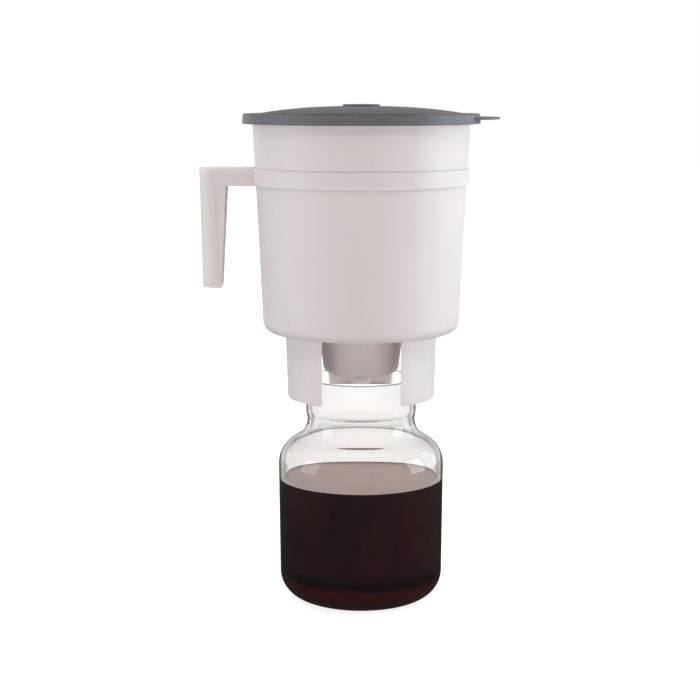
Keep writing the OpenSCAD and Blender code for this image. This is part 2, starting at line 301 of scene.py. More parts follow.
# %% [markdown]
# ## White polypropylene
#
# The container and the handle are injection moulded polypropylene. The melt freezes against a
# finely blasted steel mould, so the surface is satin, with a grain of a few tenths of a
# millimetre, and slow cloudy changes in gloss where the melt flowed. The grain is drawn at 0.7
# mm, coarser than it is, because it wouldn't show otherwise. Polypropylene bends light with an
# index of 1.49. Its white is warm and faintly pink, and it is milky: a part of the light wanders
# a few millimetres inside it, which softens the shadows on it. A painted white couldn't do that.

# %% White moulded polypropylene
MILKY_DEPTH = 2.5 * MM
MILKY_REACH = (1.0, 0.9, 0.85)


def moulded_plastic(name, tone, flow_tone, rough, grain_mm, grain_height, cloud_mm, milky=0.0):
    """Base colour drifts between two near tones along the flow, roughness between 90 and 110
    per cent, and a fine noise bump stands for the mould's blasted grain. milky is the share of
    the light that wanders MILKY_DEPTH inside the plastic before it comes out again. Red wanders
    furthest, by MILKY_REACH."""
    material, tree, place = new_material(name)
    flow = add_node(tree, "Mapping", inputs={"Vector": place, "Scale": (1, 1, 0.35)})
    cloud = add_node(tree, "TexNoise", inputs={
        "Vector": flow, "Scale": per_mm(cloud_mm), "Detail": 3.0, "Roughness": 0.55
    })
    colour = ramp(tree, cloud, [(0.30, tone), (0.72, flow_tone)])
    gloss = add_node(tree, "MapRange", inputs={
        "Value": cloud, "From Min": 0.3, "From Max": 0.7, "To Min": rough * 0.9, "To Max": rough * 1.1
    })
    grain = add_node(tree, "TexNoise", inputs={
        "Vector": place, "Scale": per_mm(grain_mm), "Detail": 2.0, "Roughness": 0.5
    })
    bump = add_node(tree, "Bump", inputs={
        "Height": grain, "Distance": grain_height * MM, "Strength": 0.5
    })
    shader = add_node(tree, "BsdfPrincipled", inputs={
        "Base Color": colour, "Roughness": gloss, "Normal": bump, "IOR": 1.49,
        "Subsurface Weight": milky, "Subsurface Radius": MILKY_REACH, "Subsurface Scale": MILKY_DEPTH
    })
    add_node(tree, "OutputMaterial", inputs={"Surface": shader})
    return material


white_polypropylene = moulded_plastic(
    "white_moulded_polypropylene", "#EEE5E4", "#EBE1E0", rough=0.42, grain_mm=0.7, grain_height=0.02,
    cloud_mm=38, milky=0.7
)

# %% [markdown]
# ## Grey soft polyethylene
#
# The lid flexes when it is pulled off, so it is low density polyethylene, pigmented mid grey.
# It is waxier than the container: a broad highlight, and a blasted grain that is a bit coarser.
# The pigment stops the light at once, so it isn't milky. The same function makes it.

# %% Grey moulded polyethylene
grey_polyethylene = moulded_plastic(
    "grey_moulded_polyethylene", "#68686C", "#6E6E73", rough=0.46, grain_mm=0.8, grain_height=0.03,
    cloud_mm=30
)

# %% [markdown]
# ## Soda-lime glass
#
# The decanter is blown soda-lime glass: clear, fire polished and smooth, with an index of 1.52.
# Its slight grey is only seen where one looks along the wall, so it is given as absorption per
# metre inside the glass, not as a tint on its face. At its outline a round glass bends the light
# of the dark studio sides towards the eye, which draws a thin dark line there: a facing ramp
# paints that line into the glass's colour as painted shade. The lip is left clear of it, because
# its edge gathers the light from all round and shines. Blown glass is never quite even, so a slow
# and shallow waviness bends what is seen through it. Caustics could carry the lamps' light
# through the wall, but they are slow and grainy. Here the wall simply lets the lamps through, a
# little dimmed.

# %% Blown soda-lime glass
LIP_LOW, LIP_HIGH = 6 * MM, 3 * MM


def blown_glass():
    """Full transmission and no roughness; a wide noise gives the wall its slight waviness, and
    light fades by the power of e of minus the density times the length of glass it crosses.
    The dark outline fades out between LIP_LOW and LIP_HIGH below the mouth. To a shadow ray the
    wall is plain transparent, so that the coffee and the legs are lit through it."""
    material, tree, place = new_material("blown_soda_lime_glass")
    wave = add_node(tree, "TexNoise", inputs={"Vector": place, "Scale": per_mm(45), "Detail": 1.0})
    bump = add_node(tree, "Bump", inputs={"Height": wave, "Distance": 0.15 * MM, "Strength": 0.25})
    grazing = add_node(tree, "LayerWeight", inputs={"Blend": 0.5})
    # Painted shade: the facing ramp darkens the glass's colour towards its outline, for the dark line
    # that bent light draws there.
    outline = ramp(tree, grazing.outputs["Facing"], [
        (0.0, "#FFFDFC"), (0.65, "#F6F4F3"), (0.73, "#A8A6A5"), (0.79, "#464443"), (0.86, "#161515")
    ])
    height = add_node(tree, "SeparateXYZ", inputs={"Vector": place}).outputs["Z"]
    lip = add_node(tree, "MapRange", inputs={
        "Value": height, "From Min": mouth_z - LIP_LOW, "From Max": mouth_z - LIP_HIGH
    })
    tint = add_node(tree, "Mix", COLOUR, {"Factor": lip, "A": outline, "B": linear("#FAFAF9")})
    shader = add_node(tree, "BsdfPrincipled", inputs={
        "Base Color": tint, "Roughness": 0.0, "IOR": 1.52, "Transmission Weight": 1.0, "Normal": bump
    })
    inside = add_node(tree, "VolumeAbsorption", inputs={"Color": linear("#B9BDB8"), "Density": 22.0})
    shadow = add_node(tree, "LightPath").outputs["Is Shadow Ray"]
    open_to_light = add_node(tree, "BsdfTransparent", inputs={"Color": linear("#F0F0EF")})
    lit = add_node(tree, "MixShader", inputs={"Fac": shadow, 1: shader, 2: open_to_light})
    add_node(tree, "OutputMaterial", inputs={"Surface": lit, "Volume": inside})
    return material


clear_glass = blown_glass()

# %% [markdown]
# ## Coffee
#
# Cold brew is almost black in bulk. Light gets a few millimetres into it, so it glows a deep
# red brown at the foot; that glow is painted into the body's colour by height. Where it wets the
# glass there is next to no reflection between the two, because their indices of 1.33 and 1.52
# lie close, so the body has nearly no gloss of its own. It isn't quite even either: slow upright
# clouds of painted glow are redder, where the warm light gets further. The free surface is the
# opposite: a mirror at low angles, and its warm grey brown is a painted reflection of the lit
# glass and plastic above it, laid on as a slowly clouded tan. A true volume could give all of
# this, but it would be noisy and slow for a liquid this dark, so the coffee has two opaque finishes.

# %% Cold brew coffee
def coffee_in_glass():
    """Colour by height, with painted light: a painted red brown glow near the base, for the light that
    gets a few millimetres into the coffee, a darker band over it, and near black above. A slow noise
    breaks the bands, and another one mixes in redder clouds of painted glow, where warm light gets
    further."""
    material, tree, place = new_material("brewed_coffee_against_glass")
    height = add_node(tree, "SeparateXYZ", inputs={"Vector": place}).outputs["Z"]
    drift = add_node(tree, "TexNoise", inputs={"Vector": place, "Scale": per_mm(50), "Detail": 2.0})
    shifted = add_node(tree, "Math", {"operation": "MULTIPLY_ADD"}, {0: drift, 1: 6 * MM, 2: height})
    level = add_node(tree, "MapRange", inputs={
        "Value": shifted, "From Min": coffee_low.z, "From Max": coffee_high.z
    })
    # Painted glow: the red brown stops near the foot stand in for light inside the coffee.
    depth = ramp(tree, level, [
        (0.03, "#361718"), (0.15, "#3E1816"), (0.225, "#150C0E"), (0.30, "#261418"), (1.0, "#221318")
    ])
    upright = add_node(tree, "Mapping", inputs={"Vector": place, "Scale": (1, 1, 0.3)})
    clouds = add_node(tree, "TexNoise", inputs={"Vector": upright, "Scale": per_mm(30), "Detail": 1.0})
    share = add_node(tree, "MapRange", inputs={
        "Value": clouds, "From Min": 0.4, "From Max": 0.65, "To Max": 0.65
    })
    # Painted glow: the redder clouds stand in for warm light that gets further into the coffee.
    redder = add_node(tree, "MapRange", SMOOTH, {
        "Value": level, "From Min": 0.27, "From Max": 0.42, "To Max": share
    })
    body = add_node(tree, "Mix", COLOUR, {"Factor": redder, "A": depth, "B": linear("#35191A")})
    shader = add_node(tree, "BsdfPrincipled", inputs={
        "Base Color": body, "Roughness": 0.3, "IOR": 1.33, "Specular IOR Level": 0.05
    })
    add_node(tree, "OutputMaterial", inputs={"Surface": shader})
    return material


def coffee_surface():
    """A smooth face with water's index over a slowly clouded tan, which is a painted reflection of the
    lit glass and plastic above it.
    """
    material, tree, place = new_material("brewed_coffee_surface")
    painted_reflection_noise = add_node(tree, "TexNoise", inputs={"Vector": place, "Scale": per_mm(35), "Detail": 2.0})
    # Painted reflection: the tan stops stand in for lit parts mirrored in the surface, not for a colour
    # of the coffee.
    colour = ramp(tree, painted_reflection_noise, [(0.35, "#9B7972"), (0.65, "#A8887B")])
    shader = add_node(tree, "BsdfPrincipled", inputs={
        "Base Color": colour, "Roughness": 0.28, "IOR": 1.33
    })
    add_node(tree, "OutputMaterial", inputs={"Surface": shader})
    return material


coffee_body, coffee_top = coffee_in_glass(), coffee_surface()

# %% [markdown]
# ## Felt and silicone
#
# The filter is needled felt, off-white fibres tangled in a thick disc: fully matte, with a soft
# sheen at grazing angles and a lint of half a millimetre. Real hairs would be hidden in the cup
# for most of the time, so two noises stand for them. The stopper is moulded silicone, pale, matte
# and slightly dusty.

# %% Needled felt and silicone
def needled_felt():
    """Two noises stretched different ways stand for the fibres, in colour and in bump."""
    material, tree, place = new_material("needled_wool_felt")
    lay = add_node(tree, "Mapping", inputs={
        "Vector": place, "Rotation": (0, 0, 0.7), "Scale": (1, 0.25, 1)
    })
    fibres = add_node(tree, "TexNoise", inputs={
        "Vector": lay, "Scale": per_mm(0.9), "Detail": 4.0, "Roughness": 0.65
    })
    tufts = add_node(tree, "TexNoise", inputs={"Vector": place, "Scale": per_mm(2.2), "Detail": 3.0})
    both = add_node(tree, "Math", {"operation": "ADD"}, {0: fibres, 1: tufts})
    half = add_node(tree, "Math", MULTIPLY, {0: both, 1: 0.5})
    colour = ramp(tree, half, [(0.32, "#CFCABD"), (0.62, "#F2EFE6")])
    bump = add_node(tree, "Bump", inputs={"Height": half, "Distance": 0.5 * MM, "Strength": 0.8})
    shader = add_node(tree, "BsdfPrincipled", inputs={
        "Base Color": colour, "Roughness": 0.95, "Sheen Weight": 0.35, "Sheen Roughness": 0.5,
        "Normal": bump
    })
    add_node(tree, "OutputMaterial", inputs={"Surface": shader})
    return material


felt_finish = needled_felt()
silicone_finish = moulded_plastic(
    "pale_moulded_silicone", "#F4ECEA", "#F1E7E3", rough=0.6, grain_mm=0.6, grain_height=0.02, cloud_mm=12
)

# %% [markdown]
# ## The decanter
#
# The glass was blown into a mould: a wide body, a shoulder that turns in through one large
# curve, a hollow neck, and a collar with a fire-polished rim. A smoothed cage could come close,
# but light bent by a wall shows each small swelling of it, so the curves are true arcs. They meet
# without a kink, which holds when the centres of two neighbours lie as far apart as their radii
# together. Inside and outside share the centres, so the wall is even. The base is thicker.

# %% The glass decanter
GLASS_WALL = 2.6 * MM
GLASS_BASE = 5 * MM
BASE_RISE = 1.6 * MM
FOOT_ROUND = 18 * MM
BODY_TAPER = 0.7 * MM
SHOULDER_Z = 92 * MM
SHOULDER_ROUND = 20 * MM
NECK_R = 36.1 * MM
NECK_ROUND = 13.8 * MM
COLLAR_SWELL = 0.8 * MM
COLLAR_ROUND = 11.5 * MM
RIM_ROUND = 0.9 * MM
RIM_DEPTH = 3 * MM

foot_r = glass_r - BODY_TAPER
collar_r = NECK_R + COLLAR_SWELL


def next_centre(centre, reach, across):
    """Centre of the next curve, at radius across and as high as the distance reach asks."""
    return np.array([across, centre[1] + math.sqrt(reach ** 2 - (across - centre[0]) ** 2)])


shoulder_c = np.array([glass_r - SHOULDER_ROUND, SHOULDER_Z])
neck_c = next_centre(shoulder_c, SHOULDER_ROUND + NECK_ROUND, NECK_R + NECK_ROUND)
collar_c = next_centre(neck_c, NECK_ROUND + COLLAR_ROUND, collar_r - COLLAR_ROUND)
shoulder_end = math.degrees(math.atan2(*(neck_c - shoulder_c)[::-1]))
collar_start = math.degrees(math.atan2(collar_c[1] - neck_c[1], neck_c[0] - collar_c[0]))


def upper_glass(depth):
    """Shoulder, neck and collar at a depth in the glass: convex radii lose it, the hollow
    one gains it."""
    return np.vstack([
        arc_points(shoulder_c, SHOULDER_ROUND - depth, 0, shoulder_end, 32),
        arc_points(neck_c, NECK_ROUND + depth, 180 + shoulder_end, 180 - collar_start, 32)[1:],
        arc_points(collar_c, COLLAR_ROUND - depth, -collar_start, 0, 12)[1:],
    ])


def glass_inside(gap=0.0):
    """The inner face from the middle of the base to the mouth: a shallow dome, the inner foot
    curve and the upper glass. A gap above zero lies inside the glass's own face."""
    depth = GLASS_WALL + gap
    foot_c = np.array([foot_r - FOOT_ROUND, GLASS_BASE + FOOT_ROUND - GLASS_WALL])
    t = np.linspace(0, 1, 24, endpoint=False)
    base = foot_c[1] - FOOT_ROUND + depth
    dome = np.column_stack([foot_c[0] * t, base + BASE_RISE * (1 - t ** 2)])
    foot = arc_points(foot_c, FOOT_ROUND - depth, -90, 0, 24)
    wall = np.column_stack([
        np.linspace(foot_r - depth, glass_r - depth, 14)[1:-1],
        np.linspace(foot_c[1], SHOULDER_Z, 14)[1:-1],
    ])
    return np.vstack([dome, foot, wall, upper_glass(depth)])


glass_outside = np.vstack([
    np.column_stack([np.linspace(0, foot_r - FOOT_ROUND, 8, endpoint=False), np.zeros(8)]),
    arc_points([foot_r - FOOT_ROUND, FOOT_ROUND], FOOT_ROUND, -90, 0, 32),
    np.column_stack([
        np.linspace(foot_r, glass_r, 14)[1:-1], np.linspace(FOOT_ROUND, SHOULDER_Z, 14)[1:-1]
    ]),
    upper_glass(0),
])
glass_rim = rounded([
    [collar_r, mouth_z - RIM_DEPTH, 0], [collar_r, mouth_z, RIM_ROUND],
    [collar_r - GLASS_WALL, mouth_z, RIM_ROUND], [collar_r - GLASS_WALL, mouth_z - RIM_DEPTH, 0],
], steps=8)
piece(
    "decanter_glass", [(lathe(np.vstack([glass_outside, glass_rim, glass_inside()[::-1]])), "lathe")],
    "decanter", "glass_decanter", clear_glass
)

# %% [markdown]
# ## The coffee in it
#
# The coffee takes the decanter's inner shape up to its level. A boolean could cut it from the
# glass's hollow, but the same profile function gives it exactly. Its skin lies a hair inside the
# glass, because liquid and glass touch without any air between them: only then does the glass
# bend the light as it does in reality, and the coffee seems to fill the decanter's full width.
# Where it wets the wall it climbs by a millimetre, in a curve that falls off exponentially. Faces
# whose normal points up belong to the free surface and get its finish.

# %% The coffee
COFFEE_OVERLAP = 0.1 * MM
MENISCUS_HEIGHT = 1.0 * MM
MENISCUS_REACH = 1.3 * MM
EDGE_CLEAR = 0.5 * MM
FACES_UP = 0.3

inner = glass_inside(-COFFEE_OVERLAP)
top_edge = coffee_high.z
glass_r_there = float(np.interp(top_edge, [FOOT_ROUND, SHOULDER_Z], [foot_r, glass_r]))
wall_r = glass_r_there - GLASS_WALL + COFFEE_OVERLAP
below = inner[inner[:, 1] < top_edge - EDGE_CLEAR]
from_wall = np.concatenate([np.linspace(0, 6, 28), [12, 20, 30, 40, wall_r / MM]]) * MM
surface = np.column_stack([
    wall_r - from_wall, top_edge - MENISCUS_HEIGHT * (1 - np.exp(-from_wall / MENISCUS_REACH))
])
coffee = piece(
    "coffee_liquid", [(lathe(np.vstack([below, surface])), "lathe")],
    "decanter", "coffee", coffee_body
)
coffee.data.materials.append(coffee_top)
facing = np.empty(3 * len(coffee.data.polygons), np.float32)
coffee.data.polygons.foreach_get("normal", facing)
upward = (facing.reshape(-1, 3)[:, 2] > FACES_UP).astype(np.int32)
coffee.data.polygons.foreach_set("material_index", upward)
print("faces of the free surface:", int(upward.sum()))

# %% [markdown]
# ## The brewing container
#
# One closed profile, turned round the axis, makes the wall, the rim flange, the floor that falls
# to the cup, the cup and its drain collar. The wall leans out by its draft, so that the part
# leaves the mould. Legs, fins and ribs are separate grids in the same mesh and run into it. A
# boolean union could weld them, but it would leave slivers where the fine grids meet.

# %% The container's profile
WALL = 2.4 * MM
DRAFT = math.tan(math.radians(2.6))
CONTAINER_H = 141.7 * MM
FLANGE_REACH = 5.2 * MM
FLANGE_T = 2 * MM
FLOOR_ROUND = 7.5 * MM
FLOOR_FALL = 1.6 * MM
CUP_R = 28 * MM
CUP_DEPTH = 28 * MM
CUP_DRAFT = math.tan(math.radians(6.4))
CUP_WALL = 2.2 * MM
CUP_ROUND = 5 * MM
DRAIN_R = 5.2 * MM
DRAIN_WALL = 1.2 * MM
STOPPER_HEAD = 3.1 * MM

floor_z = rim_z - CONTAINER_H
drain_z = stopper_low.z + STOPPER_HEAD
cup_z = floor_z - CUP_DEPTH
flange_r = brewer_high.y
container_top_r = flange_r - FLANGE_REACH


def container_r(z):
    """Outside radius of the wall: the top radius less the draft times the depth below the rim."""
    return container_top_r - (rim_z - z) * DRAFT


def cup_r(z):
    """Outside radius of the cup, which narrows downwards by its draft."""
    return CUP_R - (floor_z - z) * CUP_DRAFT


container_profile = rounded([
    [DRAIN_R, drain_z, 0.3 * MM],
    [DRAIN_R + DRAIN_WALL, drain_z, 0.3 * MM],
    [DRAIN_R + DRAIN_WALL, cup_z, 0.8 * MM],
    [cup_r(cup_z), cup_z, CUP_ROUND],
    [CUP_R, floor_z, 1.2 * MM],
    [container_r(floor_z), floor_z, FLOOR_ROUND],
    [container_r(rim_z - FLANGE_T), rim_z - FLANGE_T, 0.6 * MM],
    [flange_r, rim_z - FLANGE_T, 0.5 * MM],
    [flange_r, rim_z, 0.5 * MM],
    [container_r(rim_z) - WALL, rim_z, 0.8 * MM],
    [container_r(floor_z + WALL) - WALL, floor_z + WALL + FLOOR_FALL, FLOOR_ROUND - WALL],
    [cup_r(floor_z + WALL) - CUP_WALL, floor_z + WALL, 1.0 * MM],
    [cup_r(cup_z) - CUP_WALL, cup_z + CUP_WALL, CUP_ROUND - CUP_WALL],
    [DRAIN_R, cup_z + CUP_WALL, 0.4 * MM],
], closed=True, steps=10)
print(f"container: {len(container_profile)} profile points, floor at {floor_z / MM:.1f} mm")

# %% [markdown]
# The legs are three slices of one drafted ring. Cutting the windows from the ring would leave
# sharp edges, so each leg is a rounded rectangle that climbs from the foot and is bent round the
# axis. The windows have parallel sides, so the angle at which a leg ends depends on the radius:
# it is where a line half a window off the window's middle crosses the circle.

# %% Legs
LEG_R = 50.4 * MM
LEG_DRAFT = math.tan(math.radians(1.8))
LEG_WALL = 2.2 * MM
WINDOW = 51 * MM
LEG_EDGE = 0.45 * MM
LEG_ROOT = 1.2 * MM
LEG_HALF = 24 * MM
LEGS = 3


def leg_r(z):
    """Outside radius of the legs, which narrow downwards by their draft."""
    return LEG_R - (floor_z - z) * LEG_DRAFT


def leg(middle):
    """Rows climb from the foot into the floor by LEG_ROOT. Each is a rounded rectangle, drawn
    flat with half a length of LEG_HALF and drawn in at the foot for a soft edge, then bent
    round the axis between the two windows."""
    a = np.radians(np.linspace(0, 90, 5))
    climb = np.linspace(1 * MM, floor_z - leg_z + LEG_ROOT, 12)
    rise = np.concatenate([LEG_EDGE * (1 - np.cos(a)), climb])
    inset = np.concatenate([LEG_EDGE * (1 - np.sin(a)), 0 * climb])
    sides = np.linspace(-LEG_HALF, LEG_HALF, 49)[1:-1]
    face = np.column_stack([sides, 0 * sides + LEG_WALL / 2])
    face = face[np.abs(sides) < LEG_HALF - 2 * LEG_EDGE]
    corner = arc_points([LEG_HALF - LEG_EDGE, LEG_WALL / 2 - LEG_EDGE], LEG_EDGE, 90, 0, 4)
    outline = np.vstack([
        face, corner, corner[::-1] * [1, -1], (face * [1, -1])[::-1], corner * [-1, -1],
        corner[::-1] * [-1, 1]
    ])
    rings = np.stack([drawn_in(outline, i) for i in inset])
    z = (leg_z + rise)[:, None]
    r = leg_r(z) - LEG_WALL / 2 + rings[:, :, 1]
    end = math.pi / LEGS - np.arcsin(WINDOW / 2 / r)
    angle = math.radians(middle) + rings[:, :, 0] / LEG_HALF * end
    return np.stack([r * np.cos(angle), r * np.sin(angle), z + 0 * r], axis=2)


leg_angles = [90 + 360 / LEGS * i for i in range(LEGS)]

# %% [markdown]
# Behind each leg stand two thin fins. Their flat steps rest on the rim of the glass, and their
# longer part centres the container on the collar. In the cup, low ribs carry the felt, so that
# the coffee can run to the drain underneath it. All of them are plates that stand on a radius, so
# one function draws each in radius and height and stands it up at its angle.

# %% Fins and felt ribs
FIN_T = 1.8 * MM
FIN_SPREAD = 13
FIN_REACH = 1 * MM
FIN_DROP = 6 * MM
COLLAR_GAP = 0.5 * MM
FELT_RIBS = 8
FELT_RIB_T = 1.4 * MM
PLATE_ROOT = 1 * MM


def radial_plate(outline, thickness, angle, edge=0.3 * MM):
    """A plate drawn in (radius, height) and stood up in the plane at an angle round the axis."""
    c, s = math.cos(math.radians(angle)), math.sin(math.radians(angle))
    return plate(outline, thickness, edge, [(c, s, 0), (0, 0, 1), (-s, c, 0)])


step_r = collar_r + COLLAR_GAP
fin_low = mouth_z - FIN_DROP
fin_outline = rounded([
    [collar_r - GLASS_WALL - FIN_REACH, floor_z + PLATE_ROOT, 0],
    [collar_r - GLASS_WALL - FIN_REACH, mouth_z, 0.4 * MM],
    [step_r, mouth_z, 0.3 * MM],
    [step_r, fin_low + FIN_DROP / 4, 0.4 * MM],
    [step_r + FIN_DROP / 4, fin_low, 0.4 * MM],
    [leg_r(fin_low) - LEG_WALL / 2, fin_low, 0],
    [leg_r(floor_z) - LEG_WALL / 2, floor_z + PLATE_ROOT, 0],
], closed=True, steps=3)
fins = [
    (radial_plate(fin_outline, FIN_T, angle + side * FIN_SPREAD / 2), "plate")
    for angle in leg_angles for side in (-1, 1)
]
rib_outline = rounded([
    [DRAIN_R + DRAIN_WALL + CUP_WALL, cup_z + CUP_WALL - PLATE_ROOT, 0],
    [DRAIN_R + DRAIN_WALL + CUP_WALL, felt_low.z, 0.6 * MM],
    [cup_r(cup_z) - CUP_WALL / 2, felt_low.z, 0.3 * MM],
    [cup_r(cup_z) - CUP_WALL / 2, cup_z + CUP_WALL - PLATE_ROOT, 0],
], closed=True, steps=3)
felt_ribs = [
    (radial_plate(rib_outline, FELT_RIB_T, 360 / FELT_RIBS * i), "plate") for i in range(FELT_RIBS)
]
piece(
    "container_shell", [(lathe(container_profile), "ring")] + [(leg(a), "plate") for a in leg_angles]
    + fins + felt_ribs,
    "container", "brewing_container", white_polypropylene
)

# %% [markdown]
# ## The handle
#
# The band is a ring with a soft upper edge. The grip is a column with a D-shaped plan that leans
# in towards its foot, and the arm is a bar that ties it to the band. The hollow on the side of
# the hand is cut with a boolean, because a moulding core does the same: what is left is a wall
# of even thickness. A bevel then breaks the sharp edges. The band is a turned piece of its own,
# because a boolean with so fine a ring would leave slivers.

# %% The band
BAND_H = 10.8 * MM
BAND_ROUND = 2.0 * MM
BAND_OVERLAP = 0.1 * MM
band_top = handle_high.z
band_low = band_top - BAND_H
band_r = handle_high.y

band_profile = rounded([
    [container_r(band_low) - BAND_OVERLAP, band_low, BAND_OVERLAP],
    [band_r, band_low, 0.35 * MM],
    [band_r, band_top, BAND_ROUND],
    [container_r(band_top) - BAND_OVERLAP, band_top, BAND_OVERLAP],
], closed=True, steps=8)
piece(
    "handle_band", [(lathe(band_profile), "ring")],
    "container", "handle", white_polypropylene
)

# %% [markdown]
# The grip's plan changes with the height: its inner edge leans, and a shallow panel on each flank
# ends under the arm. So each row is its own D, worked out for that height.

# %% The grip's plan at each height
ARM_H = 11.6 * MM
GRIP_DEPTH = 18.2 * MM
GRIP_FOOT_DEPTH = 12.8 * MM
GRIP_LEAN = 1.6 * MM
GRIP_W = 24 * MM
GRIP_ROUND = 9.4 * MM
HANDLE_WALL = 2.2 * MM
PANEL_DEPTH = 0.6 * MM
PANEL_SOFT = 3.2 * MM
PANEL_TOP = 1.2 * MM
GRIP_RIBS = 4
GRIP_RIB_T = 1.6 * MM

grip_out = -handle_low.x
grip_foot = handle_low.z
arm_low = band_top - ARM_H
root = container_r(band_low) - WALL / 2


def smooth_step(t):
    """0 before 0, 1 after 1, and 3 t^2 - 2 t^3 between them."""
    t = np.clip(t, 0, 1)
    return t * t * (3 - 2 * t)


def outer_x(z):
    """How far the grip's outer face stands from the axis: it leans in towards the foot."""
    return grip_out - GRIP_LEAN * (band_top - z) / (band_top - grip_foot)


def inner_x(z):
    """How far the grip's inner edge stands from the axis, along a straight line that ends at
    the arm's underside."""
    top = grip_out - GRIP_DEPTH
    foot = grip_out - GRIP_LEAN - GRIP_FOOT_DEPTH
    return foot + (top - foot) * (z - grip_foot) / (arm_low - grip_foot)


def grip_ring(z, inset, inner, panel):
    """D-shaped plan at a height: straight sides, which a shallow panel of the given depth
    draws in behind the rounded outer corners, and two quarter circles."""
    half, r = GRIP_W / 2 - inset, GRIP_ROUND - inset
    out = outer_x(z) - inset
    x = np.linspace(inner, out - r, 26)
    start = outer_x(z) - GRIP_ROUND
    y = half - panel * smooth_step((start - x) / PANEL_SOFT)
    side = np.column_stack([-x, y])
    corner = arc_points([r - out, half - r], r, 90, 180, 12)[1:]
    half_plan = np.vstack([side, corner])
    plan = np.vstack([half_plan, half_plan[::-1] * [1, -1]])
    return np.column_stack([plan, np.full(len(plan), z)])


def grip_column(low, high, inset, inner, panel):
    """Rows of the plan from low to high, with the panel fading out under the arm."""
    z = np.unique(np.concatenate([
        np.linspace(low, high, 20), np.linspace(arm_low - 2 * PANEL_TOP, arm_low, 6)
    ]))
    fade = smooth_step((arm_low - z) / PANEL_TOP)
    return np.stack([grip_ring(h, inset, inner(h), panel * f) for h, f in zip(z, fade)])


# %% [markdown]
# Hollow and arm could be drawn face by face. Booleans of closed blocks are surer here, because
# the exact solver keeps the result closed, and each is applied at once.

# %% Booleans
def apply_modifiers(target):
    """Puts the evaluated mesh in place of the object's own and drops the modifiers."""
    graph = bpy.context.evaluated_depsgraph_get()
    done = bpy.data.meshes.new_from_object(target.evaluated_get(graph))
    target.modifiers.clear()
    target.data = done


def cut(target, tool, operation):
    """Applies a boolean of target and tool, and deletes the tool."""
    modifier = target.modifiers.new(operation.lower(), "BOOLEAN")
    modifier.operation = operation
    modifier.solver = "EXACT"
    modifier.object = tool
    apply_modifiers(target)
    bpy.data.objects.remove(tool)


def bar(x_low, x_high, half_y, z_low, z_high):
    """A box as a plate without rounded edges, for the arm and for its hollow."""
    outline = np.array([[x_low, -half_y], [x_high, -half_y], [x_high, half_y], [x_low, half_y]])
    return np.stack([np.column_stack([outline, np.full(4, z)]) for z in (z_low, z_high)])


# %% [markdown]
# Union of grip and arm first, then the two hollows, and last the bevel on all sharp edges.

# %% The grip in one piece with its arm
ARM_OVERLAP = 2 * MM
HOLLOW_PAST = 4 * MM
ARM_HOLLOW_PAST = 3 * MM
BROKEN_EDGE = 0.45 * MM
BROKEN_FROM = math.radians(50)

sill, roof = grip_foot + HANDLE_WALL, band_top - HANDLE_WALL
arm = bar(-(grip_out - GRIP_ROUND - ARM_OVERLAP), -root, GRIP_W / 2, arm_low, band_top)
hollow = grip_column(sill, roof, HANDLE_WALL, lambda z: inner_x(z) - HOLLOW_PAST, 0)
arm_hollow = bar(
    -(grip_out - GRIP_ROUND), -(band_r + HANDLE_WALL), GRIP_W / 2 - HANDLE_WALL,
    arm_low - ARM_HOLLOW_PAST, roof
)
grip = block("handle_grip", [(grip_column(grip_foot, band_top, 0, inner_x, PANEL_DEPTH), "plate")])
for tool, operation in ((arm, "UNION"), (hollow, "DIFFERENCE"), (arm_hollow, "DIFFERENCE")):
    cut(grip, block("tool", [(tool, "plate")]), operation)
bevel = grip.modifiers.new("broken_edges", "BEVEL")
bevel.width = BROKEN_EDGE
bevel.segments = 3
bevel.limit_method = "ANGLE"
bevel.angle_limit = BROKEN_FROM
bevel.use_clamp_overlap = True
apply_modifiers(grip)
grip.data.shade_smooth()
grip.data.set_sharp_from_angle(angle=SHARP)
grip.data.materials.clear()
dress(grip, "container", "handle", white_polypropylene)

# %% [markdown]
# Thin cross ribs stiffen the hollow, a little behind its open edge. Each is the plan of the grip
# at its own height, shrunk by half a wall, so its rim ends inside the walls.

# %% Cross ribs in the grip
RIB_SETBACK = 1.2 * MM


def cross_rib(z):
    """A flat D at a height, from the setback inside the grip's inner edge into its walls."""
    ring = grip_ring(z - GRIP_RIB_T / 2, HANDLE_WALL / 2, inner_x(z) + RIB_SETBACK, 0)
    return plate(ring[:, :2], GRIP_RIB_T, 0.3 * MM, np.eye(3), (0, 0, z - GRIP_RIB_T / 2))


rib_heights = [sill + (arm_low - sill) * i / GRIP_RIBS for i in range(1, GRIP_RIBS + 1)]
piece(
    "handle_ribs", [(cross_rib(z), "plate") for z in rib_heights],
    "container", "handle", white_polypropylene
)

# %% [markdown]
# ## The lid
#
# A low dome ends in a small step on a flat rim, with a skirt over the container's flange and a
# short plug inside its mouth. Its height falls off with the radius to the power of 2.4, which is
# flatter in the middle and steeper outside than a plain bowl. In its middle stands a flat round
# boss with a crisp edge. The pull tab is a thin round tongue that grows out of the skirt.

# %% The lid
LID_T = 1.8 * MM
SKIRT_T = 1.2 * MM
SKIRT_H = 6.3 * MM
SKIRT_FLARE = 0.65 * MM
DOME_R = 65.5 * MM
DOME_STEP = 0.6 * MM
DOME_FULLNESS = 2.4
BOSS_R = 12 * MM
BOSS_H = 1.1 * MM
BOSS_CLEAR = 1 * MM
PLUG_H = 6 * MM
PLUG_WALL = 1.6 * MM
LID_GAP = 0.35 * MM
TAB_R = 31.2 * MM
TAB_T = 1.5 * MM
TAB_DROP = 2.9 * MM

lid_z = rim_z + LID_T
skirt_r = lid_high.y
dome_h = lid_high.z - BOSS_H - lid_z
plug_r = container_r(rim_z - PLUG_H) - WALL - LID_GAP


